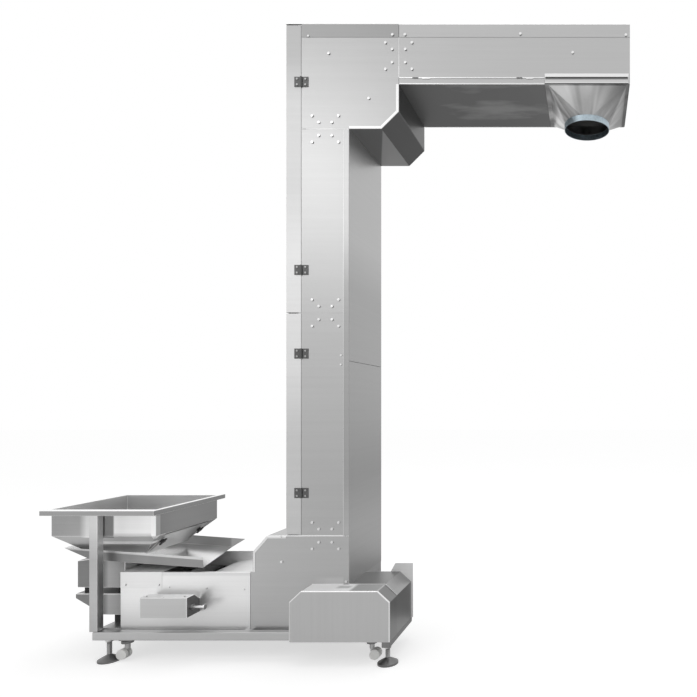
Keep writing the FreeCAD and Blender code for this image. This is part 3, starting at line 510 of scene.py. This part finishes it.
# Painted highlights on folds, beads and laps, and painted light on the hopper's inside
fold_finish = plain_metal("polished_fold", grey(0.86), 0.30, 0.10)
flange_finish = brushed_steel("bright_flange_sheet", 0.80, 0.36)
inside_finish = brushed_steel("bright_inside_sheet", 0.62, 0.44, cloud=0.4, handled=(3.0, 3.0, 3.0), under=1.0)

# Which of a rounded piece's finishes a face wears
SHEET, FOLD, BRIGHT, INSIDE = range(4)


# Modelling helpers

def deselect():
    bpy.ops.object.select_all(action="DESELECT")


def pick(piece):
    """Selects one piece and nothing else."""
    deselect()
    piece.select_set(True)
    bpy.context.view_layer.objects.active = piece


def edit(piece):
    """Opens one piece for editing, with all of its mesh selected."""
    pick(piece)
    bpy.ops.object.mode_set(mode="EDIT")
    bpy.ops.mesh.select_all(action="SELECT")


def done():
    bpy.ops.object.mode_set(mode="OBJECT")
    deselect()


def pick_faces(piece, chosen):
    """Selects the faces of an open piece that a test picks."""
    bpy.ops.mesh.select_all(action="DESELECT")
    working = bmesh.from_edit_mesh(piece.data)
    for face in working.faces:
        face.select_set(chosen(face))
    bmesh.update_edit_mesh(piece.data)


def settle(piece):
    """Puts a piece's place into its mesh, so that its object sits at the origin."""
    pick(piece)
    bpy.ops.object.transform_apply(location=True, rotation=True, scale=True)


def dress(piece, *worn):
    piece.data.materials.clear()
    for finish in worn:
        piece.data.materials.append(finish)


def fasten(piece, body):
    """Settles a piece on the body that it moves with."""
    settle(piece)
    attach(piece, body)
    return piece


def smooth(piece, degrees=32.0):
    pick(piece)
    bpy.ops.object.shade_smooth_by_angle(angle=math.radians(degrees))


def even_normals(piece):
    """Keeps flat sheet flat beside its rounded folds."""
    weighted = piece.modifiers.new("weighted", "WEIGHTED_NORMAL")
    weighted.keep_sharp = True
    pick(piece)
    bpy.ops.object.modifier_apply(modifier=weighted.name)


def joined(name, copies, body, slot, worn=None):
    """Copies that are joined into one piece, in the finish of its slot or in its own."""
    deselect()
    for copy in copies:
        copy.select_set(True)
    bpy.context.view_layer.objects.active = copies[0]
    if len(copies) > 1:
        bpy.ops.object.join()
    copies[0].name = name
    copies[0].data.name = name
    dress(copies[0], worn or finishes[slot])
    return fasten(copies[0], body)


def placed(pattern, matrix):
    """A copy of a pattern with its own mesh, moved into place."""
    copy = pattern.copy()
    copy.data = pattern.data.copy()
    copy.data.transform(matrix)
    bpy.context.scene.collection.objects.link(copy)
    return copy


def both_sides(piece):
    """The piece and its mirror image on the back of the machine."""
    copy = placed(piece, Matrix.Translation((0, FRONT + BACK, 0)) @ Matrix.Scale(-1, 4, (0, 1, 0)))
    edit(copy)
    bpy.ops.mesh.normals_make_consistent(inside=False)
    done()
    return [piece, copy]


def put_away(*patterns):
    """Removes the patterns that copies were made from."""
    for pattern in patterns:
        bpy.data.objects.remove(pattern)


# Sheet, tube and boxes with rounded folds

SHARP = math.radians(20)


def face_width(face):
    """The width of a long face, or about the size of a compact one."""
    longest = max(edge.calc_length() for edge in face.edges)
    return face.calc_area() / longest


def is_fold(edge, narrowest):
    """A sharp edge between two faces that are both wider than the sheet is thick."""
    if len(edge.link_faces) != 2 or edge.calc_face_angle(0.0) < SHARP:
        return False
    return min(face_width(face) for face in edge.link_faces) > narrowest


def rounded_copy(node, radius, narrowest=0.006, bright=None, highlighted=True, highlight_limit=None):
    """A copy of a node with its folds or corners rounded, which stands for the node.

    Its folds take a painted highlight, or only those in front of a limit along Y. Bright picks the faces, by place and
    normal, that take painted light and are brighter than the rest.
    """
    source = nodes[node]
    mesh = source.data.copy()
    piece = bpy.data.objects.new(node + "_finished", mesh)
    bpy.context.scene.collection.objects.link(piece)
    mesh.name = piece.name
    dress(piece, own_finish.get(node, finishes[slots[node]]), fold_finish, flange_finish, inside_finish)
    edit(piece)
    bpy.ops.mesh.remove_doubles(threshold=0.00002)
    bpy.ops.mesh.dissolve_limited(angle_limit=math.radians(0.5))
    bpy.ops.mesh.select_all(action="DESELECT")
    working = bmesh.from_edit_mesh(mesh)
    for edge in working.edges:
        edge.select_set(is_fold(edge, narrowest))
    bmesh.update_edit_mesh(mesh)
    bpy.ops.mesh.bevel(offset=radius, segments=3, clamp_overlap=True, material=FOLD if highlighted else SHEET)
    done()
    for face in mesh.polygons:
        if face.material_index == SHEET and bright:
            face.material_index = bright(face.center, face.normal)
        elif face.material_index == FOLD and highlight_limit is not None and face.center.y > highlight_limit:
            face.material_index = SHEET
    smooth(piece)
    even_normals(piece)
    fasten(piece, source["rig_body"])
    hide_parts(node)
    return piece


def flanges(middle, normal):
    """The laps over the front and back panels take a painted highlight."""
    return BRIGHT if abs(normal.y) > 0.9 and not BACK - 0.0005 > middle.y > FRONT + 0.0005 else SHEET


hopper_low, hopper_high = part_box("hopper_body")
hopper_heart = (hopper_low + hopper_high) / 2


# The hopper's inside takes painted light
def hopper_inside(middle, normal):
    return INSIDE if normal.dot(hopper_heart - middle) > 0.0 else SHEET


# Level tops take painted light: the guard's top and the tray's floor
def level_top(middle, normal):
    return BRIGHT if normal.z > 0.9 else SHEET


rounded_copy("boot_top_cover", 0.004, bright=flanges)
rounded_copy("corner_inner_cover", 0.004, bright=flanges, highlighted=False)
rounded_copy("head_bottom_cover", 0.005)
for node in ("corner_top_cover", "head_top_cover", "door_upper", "door_lower", "feed_front_panel"):
    rounded_copy(node, 0.0025)
rounded_copy("column_right_covers", 0.0025, highlighted=False)
rounded_copy("feed_top_cover", 0.0025, bright=flanges)
guard = rounded_copy("drive_front_guard", 0.005, highlight_limit=guard_front + 0.006, bright=level_top)
guard.data.materials[BRIGHT] = guard_top_finish
rounded_copy("drive_housing", 0.005, highlighted=False)
for node in ("frame_front_rail", "frame_back_rail", "frame_cross_rails", "frame_end_rail", "hopper_posts"):
    rounded_copy(node, 0.003, highlighted=False)
for node in ("vibrator_upper_box", "vibrator_base_box", "take_up_cover"):
    rounded_copy(node, 0.003)
rounded_copy("hopper_body", 0.006, narrowest=0.004, bright=hopper_inside)
rounded_copy("hopper_rim", 0.004, narrowest=0.004)
tray = rounded_copy("feeder_tray", 0.004, narrowest=0.004, bright=level_top)
tray.data.materials[BRIGHT] = tray_floor_finish
for node in ("gate_knobs", "vibrator_mounts", "caster_plates"):
    rounded_copy(node, 0.0015, narrowest=0.003, highlighted=False)
for node, piece in nodes.items():
    if not piece.hide_render:
        dress(piece, own_finish.get(node, finishes[slots[node]]))


# Screws and bolts

def dome_head(size):
    """A domed bolt head on the X and Z plane at the origin, facing -Y."""
    deselect()
    bpy.ops.mesh.primitive_cylinder_add(
        vertices=20, radius=size / 2, depth=size * 0.34, location=(0, -size * 0.17, 0), rotation=(math.pi / 2, 0, 0)
    )
    head = bpy.context.object
    settle(head)
    edit(head)
    pick_faces(head, lambda face: face.normal.y < -0.9)
    bpy.ops.mesh.bevel(offset=size * 0.32, segments=5, clamp_overlap=True)
    done()
    smooth(head, 60.0)
    return head


def heads(pattern, places, face, turn=Matrix()):
    """Heads at (x, z) places on a face across the machine's depth; without a turn they face -Y."""
    return [placed(pattern, Matrix.Translation((x, face, z)) @ turn) for x, z in places]


bolt = dome_head(0.0138)
screw = dome_head(0.010)

# Each bolted joint between panels has eight bolts in a cross about its middle
joint_bolts = []
for x, z in ((0.2945, 3.005), (-0.0725, 2.640), (-0.0725, 1.720), (-0.0725, 0.607)):
    for aside, up in ((1, 1), (1, -1), (-1, 1), (-1, -1)):
        for reach in (0.033, 0.066):
            joint_bolts.append((x + aside * reach, z + up * reach))
panel_bolts = joint_bolts + [(-0.056, 3.018), (0.145, 2.793), (1.1635, 3.0215), (-0.2915, 0.476)]
cover_bolts = [
    (0.2635, 3.110), (0.3255, 3.110), (0.9025, 3.114), (1.429, 3.1085),
    (0.032, 0.377), (-1.074, 0.362), (-0.9065, 0.362),
]
panel_screws = [(-0.8545, 0.349), (-0.6675, 0.345), (-0.480, 0.3385), (0.0055, 1.508), (0.0045, 1.462)]
cover_screws = [(-0.1575, 3.104), (-0.295, 0.601)]
for name, panel, cover, turn in (
    ("front_bolts", FRONT, LAP_FACE, Matrix()), ("back_bolts", BACK, BACK + LAP, Matrix.Rotation(math.pi, 4, "Z")),
):
    copies = heads(bolt, panel_bolts, panel, turn) + heads(bolt, cover_bolts, cover, turn)
    copies += heads(screw, panel_screws, panel, turn) + heads(screw, cover_screws, cover, turn)
    joined(name, copies, "machine", "screw_steel")

hinge_x = joint_places["upper_door"][0]
hinge_face = FRONT - 0.0025
HALF_HINGE = 0.025
SCREW_ASIDE = 0.021
SCREW_UP = 0.014
UPPER_LEAVES = "door_upper_hinge_leaves"
LOWER_LEAVES = "door_lower_hinge_leaves"
for name, body, aside, leaves in (
    ("fixed_hinge_screws", "machine", SCREW_ASIDE, [UPPER_LEAVES, LOWER_LEAVES]),
    ("upper_door_hinge_screws", "door_upper", -SCREW_ASIDE, [UPPER_LEAVES]),
    ("lower_door_hinge_screws", "door_lower", -SCREW_ASIDE, [LOWER_LEAVES]),
):
    places = []
    for low, high in map(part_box, leaves):
        for middle in (low.z + HALF_HINGE, high.z - HALF_HINGE):
            places += [(hinge_x + aside, middle - SCREW_UP), (hinge_x + aside, middle + SCREW_UP)]
    joined(name, heads(screw, places, hinge_face), body, "screw_steel", hinge_screw_finish)

upward = Matrix.Rotation(math.radians(-90), 4, "X")
cover_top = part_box("take_up_cover")[1].z
cover_middle = FRONT - 0.078
top_heads = [placed(screw, Matrix.Translation((x, cover_middle, cover_top)) @ upward) for x in (-0.911, -0.726)]
joined("take_up_cover_screws", top_heads, "machine", "screw_steel")
put_away(bolt, screw)


# Strips, tabs and beads along the casing

def bar(low, high, rounding, segments=2):
    """A bar between two corners with its edges rounded."""
    deselect()
    bpy.ops.mesh.primitive_cube_add(size=1.0, location=(Vector(low) + Vector(high)) / 2)
    piece = bpy.context.object
    piece.scale = Vector(high) - Vector(low)
    settle(piece)
    edit(piece)
    bpy.ops.mesh.bevel(offset=rounding, segments=segments, clamp_overlap=True)
    done()
    smooth(piece, 50.0)
    return piece


def grooved_bar(low, high, rim, depth, ends):
    """A strip with a groove along its front face, which looks to -Y; the groove stops short of its ends."""
    piece = bar(low, high, 0.001, 1)
    edit(piece)
    pick_faces(piece, lambda face: face.normal.y < -0.99 and face.calc_area() > rim * rim)
    bpy.ops.mesh.inset(thickness=rim)
    length = high[0] - low[0]
    bpy.ops.transform.resize(value=((length - 2 * ends) / (length - 2 * rim), 1.0, 1.0))
    bpy.ops.mesh.extrude_region_move(TRANSFORM_OT_translate={"value": (0, depth, 0)})
    done()
    smooth(piece, 40.0)
    return piece


def row_of_bars(rows, depth, height, rounding):
    """Short bars on the front laps and on the back ones, at (middle, width, top) places."""
    bars = []
    for middle, width, top in rows:
        low = (middle - width / 2, LAP_FACE - depth, top - height)
        bars += both_sides(bar(low, (middle + width / 2, LAP_FACE, top), rounding))
    return bars


boot_low, boot_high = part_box("boot_front_panel")
casing_low = boot_low.z
feed_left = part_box("feed_front_panel")[0].x
head_cover_low, head_cover_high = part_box("head_bottom_cover")
chute_low, chute_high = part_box("discharge_chute")
rail_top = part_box("frame_front_rail")[1].z
corner_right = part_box("corner_front_panel")[1].x
column_low, column_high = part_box("column_upper_front_panel")
cover_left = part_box("column_right_covers")[0].x
housing_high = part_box("drive_housing")[1]

# The casing's lower hem, from the feed's end to the drive housing, and a black strip behind it that closes the gap
# above the rail and stands for the painted shade in it
HEM_END = 0.045
hem_low = casing_low - 0.012
seam_x = boot_low.x - 0.001
for name, left, right, worn in (
    ("feed_hems", feed_left, seam_x, feed_finish),
    ("boot_hems", seam_x, HEM_END, finishes["casing_steel"]),
):
    hem = bar((left, FRONT, hem_low), (right, FRONT + 0.002, casing_low), 0.0004)
    joined(name, both_sides(hem), "machine", "casing_steel", worn)
gap_strip = bar((feed_left, FRONT + 0.003, rail_top - 0.004), (HEM_END, FRONT + 0.006, casing_low), 0.0008)
joined("casing_seals", both_sides(gap_strip), "machine", "mount_rubber")

# Tabs under the hem with the painted highlight of the folds
tabs = []
for middle, width in ((-1.075, 0.030), (-0.900, 0.014), (-0.7525, 0.045), (-0.445, 0.040)):
    low = (middle - width / 2, FRONT - 0.004, hem_low - 0.004)
    tabs += both_sides(bar(low, (middle + width / 2, FRONT, hem_low + 0.003), 0.0015))
joined("casing_tabs", tabs, "machine", "frame_steel", fold_finish)

# Beads with painted highlights: under the door, along the head's lower cover, and where panels and covers meet
door_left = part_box("door_lower")[0].x
head_top_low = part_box("head_top_cover")[0].z
beads = []
for low, high, rounding in (
    ((door_left, LAP_FACE, boot_high.z - 0.003), (boot_high.x, FRONT, boot_high.z + 0.003), 0.0006),
    (
        (head_cover_low.x, LAP_FACE - 0.003, head_cover_high.z - 0.004),
        (head_cover_high.x, LAP_FACE, head_cover_high.z + 0.001), 0.001,
    ),
    (
        (corner_right, FRONT - 0.0008, head_cover_high.z + 0.004),
        (corner_right + 0.002, FRONT, head_top_low - 0.001), 0.0003,
    ),
    (
        (column_low.x + 0.02, FRONT - 0.0008, column_high.z),
        (column_high.x - 0.001, FRONT, column_high.z + 0.002), 0.0003,
    ),
    ((cover_left - 0.0015, LAP_FACE, boot_high.z + 0.003), (cover_left + 0.0005, FRONT, 2.636), 0.0005),
    (
        (head_cover_low.x + 0.002, LAP_FACE - 0.002, head_cover_low.z),
        (chute_low.x, LAP_FACE, head_cover_low.z + 0.004), 0.0008,
    ),
):
    beads += both_sides(bar(low, high, rounding))

# A bead with a painted highlight on the drive housing's top edge, along its level part and down its chamfer
CHAMFER = 0.055
EDGE_HEIGHT = 0.003
edge_bar = bar(
    (-0.14, LAP_FACE, housing_high.z), (housing_high.x - CHAMFER, FRONT, housing_high.z + EDGE_HEIGHT), 0.0006
)
slant = bar((-CHAMFER * 0.69, -LAP, 0.0), (CHAMFER * 0.69, 0.0, EDGE_HEIGHT), 0.0006)
middle = Vector((housing_high.x - CHAMFER / 2 + 0.0005, FRONT, housing_high.z - CHAMFER / 2))
slant_bar = placed(slant, Matrix.Translation(middle) @ Matrix.Rotation(math.radians(45), 4, "Y"))
put_away(slant)
joined("seam_beads", beads + [edge_bar, slant_bar], "machine", "casing_steel", fold_finish)

filler = bar((column_low.x, FRONT + 0.0002, column_low.z - 0.002), (cover_left, FRONT + 0.0015, column_low.z), 0.0001)
joined("splice_filler", [filler], "machine", "casing_steel")
# Clips with the painted highlight of the folds, and dark bars for the painted shade in the cover's notches
clips = row_of_bars([(0.432, 0.040, 2.8925), (0.949, 0.034, 2.8925)], 0.004, 0.004, 0.001)
joined("cover_clips", clips, "machine", "casing_steel", fold_finish)
notches = row_of_bars([(0.378, 0.030, 2.896), (0.898, 0.030, 2.896)], 0.0045, 0.004, 0.0008)
joined("cover_notches", notches, "machine", "foot_steel")

STRIP_DEPTH = 0.008
GROOVE_RIM = 0.0165
strip_low = chute_high.z + 0.001
strip_high = strip_low + 0.048
chute_strip = grooved_bar(
    (chute_low.x, FRONT - STRIP_DEPTH, strip_low), (chute_high.x - 0.002, FRONT, strip_high), GROOVE_RIM, 0.006, 0.003
)
strip_finish = brushed_steel(
    "grooved_strip_sheet", 0.80, 0.36, patches=[
        # Painted shade in the groove, and on the band under it, which is a little darker than the one over it
        patch((None, FRONT - 0.0035, None), (None, BACK + 0.0035, None), (1.0, 0.001, 1.0), 0.35),
        patch((None, None, strip_low + 0.006), (None, None, strip_high - GROOVE_RIM - 0.004), (1.0, 1.0, 0.003), 0.72),
    ],
)
joined("chute_strips", both_sides(chute_strip), "machine", "chute_steel", strip_finish)


# Feet and casters

def disc(sides, size, height, chamfer, segments):
    """A disc or a nut with chamfered edges, round Z at the origin."""
    deselect()
    bpy.ops.mesh.primitive_cylinder_add(vertices=sides, radius=size / 2, depth=height, location=(0, 0, 0))
    piece = bpy.context.object
    settle(piece)
    edit(piece)
    bpy.ops.mesh.bevel(offset=height * chamfer, segments=segments, clamp_overlap=True)
    done()
    smooth(piece, 30.0)
    return piece


def race(size, height):
    """The swivel race of a caster: a disc with a stepped, rounded rim, round Z at the origin."""
    deselect()
    bpy.ops.mesh.primitive_cylinder_add(vertices=28, radius=size / 2, depth=height, location=(0, 0, 0))
    piece = bpy.context.object
    settle(piece)
    edit(piece)
    pick_faces(piece, lambda face: abs(face.normal.z) > 0.9)
    bpy.ops.mesh.inset(thickness=size * 0.10, use_individual=True)
    bpy.ops.transform.resize(value=(1.0, 1.0, 1.35), center_override=(0.0, 0.0, 0.0))
    done()
    smooth(piece, 40.0)
    return piece


ring = disc(20, 0.0225, 0.0035, 0.35, 1)
nut = disc(6, 0.034, 0.012, 0.15, 2)
STEM_LOW = 0.034
THREAD_PITCH = 0.005
# The middle of each levelling foot, and the height of the frame over it
feet = [(-1.1205, -0.2525, 0.105), (-1.1205, 0.2875, 0.105), (0.0595, 0.2875, 0.105), (0.2645, -0.2875, 0.088)]
rings = []
nuts = []
for x, y, top in feet:
    for turn in range(int((top - 0.014 - STEM_LOW) / THREAD_PITCH)):
        rings.append(placed(ring, Matrix.Translation((x, y, STEM_LOW + THREAD_PITCH * turn + 0.002))))
    nuts.append(placed(nut, Matrix.Translation((x, y, top - 0.006))))
joined("stem_threads", rings, "machine", "caster_steel")
joined("lock_nuts", nuts, "machine", "screw_steel")

caster_race = race(0.052, 0.010)
race_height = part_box("caster_plates")[0].z - 0.008
for place in ("front_left", "front_right", "rear_left", "rear_right"):
    x, y = joint_places["swivel_" + place][:2]
    spot = Matrix.Translation((x, y, race_height))
    joined("caster_race_" + place, [placed(caster_race, spot)], "caster_" + place, "foot_steel")
put_away(ring, nut, caster_race)


# Floor, light and camera

def studio_finish(name, tone, uneven):
    """A plain matt finish for what only stands round the machine."""
    finish = Finish(name, metallic=0.0)
    finish.colour(grey(tone), 1.0 + finish.noise((0.7, 0.7, 0.7)) * uneven)
    return finish


def floor_material():
    """A pale floor that is brighter to the camera and to reflections than to the light that falls on the machine."""
    finish = studio_finish("pale_studio_floor", 0.62, 0.02)
    finish.feed("Roughness", 0.9)
    finish.feed("Specular IOR Level", 0.0)
    rays = finish.node("ShaderNodeLightPath", {}, {})
    mirrored = finish.value(rays, "Is Glossy Ray") + finish.value(rays, "Is Transmission Ray")
    seen = finish.value(rays, "Is Camera Ray") * 0.585 + mirrored * 0.28
    glow = finish.node("ShaderNodeEmission", {}, {"Color": (1, 1, 1, 1), "Strength": seen})
    both = finish.node("ShaderNodeAddShader", {}, {0: finish.shader.outputs[0], 1: glow.outputs[0]})
    finish.fill(finish.tree.nodes["Material Output"].inputs["Surface"], both.outputs[0])
    return finish.material


def dark_floor_material():
    finish = studio_finish("dark_studio_floor", 0.30, 0.1)
    finish.feed("Specular IOR Level", 0.0)
    return finish.material


def bounce_material():
    finish = studio_finish("white_bounce_card", 0.9, 0.1)
    finish.feed("Emission Color", (1.0, 1.0, 1.0, 1.0))
    finish.feed("Emission Strength", 0.4)
    return finish.material


def card(name, low, high, material):
    """A level card just over the floor that only reflections show."""
    deselect()
    bpy.ops.mesh.primitive_plane_add(size=1.0, location=((low[0] + high[0]) / 2, (low[1] + high[1]) / 2, 0.002))
    sheet = bpy.context.object
    sheet.name = name
    sheet.scale = (high[0] - low[0], high[1] - low[1], 1.0)
    sheet.data.materials.append(material)
    for ray in ("camera", "diffuse", "transmission", "volume_scatter", "shadow"):
        setattr(sheet, "visible_" + ray, False)
    sheet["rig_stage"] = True


def area_lamp(name, place, target, size, power):
    data = bpy.data.lights.new(name, "AREA")
    data.shape = "RECTANGLE"
    data.size, data.size_y = size
    data.energy = power
    lamp = bpy.data.objects.new(name, data)
    lamp.location = place
    lamp.rotation_euler = (Vector(target) - Vector(place)).to_track_quat("-Z", "Y").to_euler()
    bpy.context.scene.collection.objects.link(lamp)


deselect()
bpy.ops.mesh.primitive_plane_add(size=60.0, location=(0, 0, 0))
floor = bpy.context.object
floor.name = "floor"
floor.data.materials.append(floor_material())
floor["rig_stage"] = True
dark_floor = dark_floor_material()
card("dark_floor_near", (-1.2, 0.35), (2.6, 1.7), dark_floor)
card("dark_floor_far", (-4.0, 3.6), (0.9, 16.0), dark_floor)
card("bounce_card", (-2.5, -2.3), (-1.10, -0.9), bounce_material())
area_lamp("left_lamp", (-2.0, -4.2, 3.9), (-0.15, 0.0, 2.3), (1.7, 1.7), 15.0)
area_lamp("top_lamp", (0.0, 0.6, 6.0), (0.0, 0.0, 0.0), (4.0, 3.0), 60.0)

# The world is white to the camera and in reflections, and dimmer as a light
world = bpy.data.worlds.new("white_studio")
bpy.context.scene.world = world
world.use_nodes = True
studio = NodeTree(world.node_tree)
rays = studio.node("ShaderNodeLightPath", {}, {})
seen = studio.value(rays, "Is Camera Ray")
for ray in ("Is Glossy Ray", "Is Transmission Ray"):
    seen = seen.maths("MAXIMUM", seen, studio.value(rays, ray))
strength = studio.node("ShaderNodeMapRange", {}, {"Value": seen, "To Min": 0.65, "To Max": 1.0})
backdrop = world.node_tree.nodes["Background"]
studio.fill(backdrop.inputs["Color"], (1.0, 1.0, 1.0, 1.0))
studio.fill(backdrop.inputs["Strength"], strength.outputs[0])

# The photo's one-point view, in pixels: its width, the spot where its depth lines meet, and its focal length
PHOTO_WIDTH = 697.0
MEETING_X, MEETING_Y = 590.0, 407.0
FOCAL_LENGTH = 600.0
camera_data = bpy.data.cameras.new("camera")
camera_data.sensor_width = 36.0
camera_data.lens = camera_data.sensor_width * FOCAL_LENGTH / PHOTO_WIDTH
camera_data.shift_x = (PHOTO_WIDTH / 2 - MEETING_X) / PHOTO_WIDTH
camera_data.shift_y = (MEETING_Y - PHOTO_WIDTH / 2) / PHOTO_WIDTH
camera = bpy.data.objects.new("camera", camera_data)
camera.location = (1.250, FRONT - 3.0, 1.250)
camera.rotation_euler = (math.pi / 2, 0.0, 0.0)
bpy.context.scene.collection.objects.link(camera)
bpy.context.scene.camera = camera
bpy.context.scene.view_settings.view_transform = "Standard"

low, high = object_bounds()
